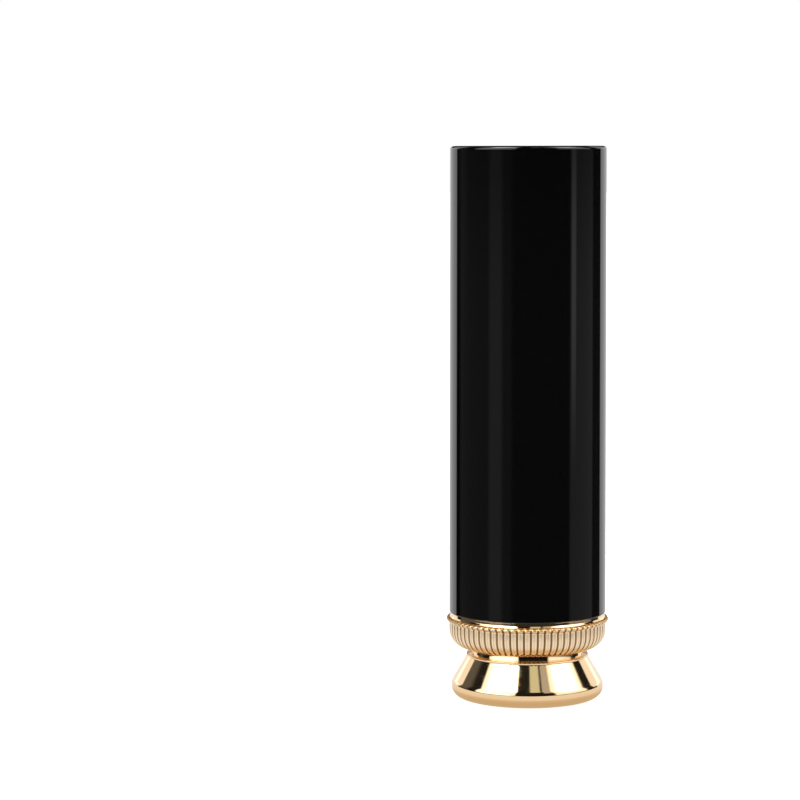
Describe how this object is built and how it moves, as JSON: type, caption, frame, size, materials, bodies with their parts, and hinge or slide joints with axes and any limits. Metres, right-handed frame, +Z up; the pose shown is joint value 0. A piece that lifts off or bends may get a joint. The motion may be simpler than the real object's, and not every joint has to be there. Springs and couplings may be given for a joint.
{
  "type": "lipstick case",
  "caption": "Twist-up lipstick case with a tall glossy black cap on a gold base with a ribbed collar and a flared foot; the cap pulls off and turning the sleeve raises the stick.",
  "frame": {"origin": "centre of the foot's underside, on the case's axis", "axes": "+Z up along the case's axis towards the cap's closed end; the cup's two lugs lie along X, and the lipstick's slanted face looks towards -Y"},
  "size_m": [0.0218, 0.0218, 0.0738],
  "materials": {
    "cap_gloss": "high gloss",
    "liner_plastic": "natural, slightly milky",
    "sleeve_gold": "bright anodised gold",
    "mechanism_plastic": "smooth moulded",
    "drag_silicone": "translucent silicone",
    "cup_plastic": "smooth moulded",
    "lipstick_wax": "matte wax",
    "base_gold": "metallised, polished",
    "collar_gold": "metallised, fine upright ribs",
    "base_plastic": "moulded",
    "weight_steel": "turned",
    "label_paper": "blank printed sticker, matt"
  },
  "bodies": {
    "base": {"foot_shell": "base_gold", "knurled_collar": "collar_gold", "trim_ring": "base_gold", "base_liner": "base_plastic", "base_weight": "weight_steel", "bottom_cover": "base_plastic", "shade_label": "label_paper", "guide_tube": "mechanism_plastic", "lower_drag_ring": "drag_silicone", "upper_drag_ring": "drag_silicone"},
    "sleeve": {"sleeve_shell": "sleeve_gold", "spiral_sleeve": "mechanism_plastic"},
    "carrier": {"bullet_cup": "cup_plastic", "lipstick_bullet": "lipstick_wax"},
    "cap": {"cap_shell": "cap_gloss", "cap_liner": "liner_plastic"}
  },
  "joints": [
    {"name": "sleeve_turn", "type": "hinge", "parent": "base", "child": "sleeve", "pos_m": [0, 0, 0], "axis": [0, 0, -1], "range_deg": [0, 540]},
    {"name": "carrier_rise", "type": "slide", "parent": "base", "child": "carrier", "axis": [0, 0, 1], "range_m": [0, 0.024]},
    {"name": "cap_lift", "type": "slide", "parent": "base", "child": "cap", "axis": [0, 0, 1], "range_m": [0, 0.06]}
  ],
  "couplings": [
    {"joint": "carrier_rise", "follows": "sleeve_turn", "m_per_rad": 0.002546}
  ]
}
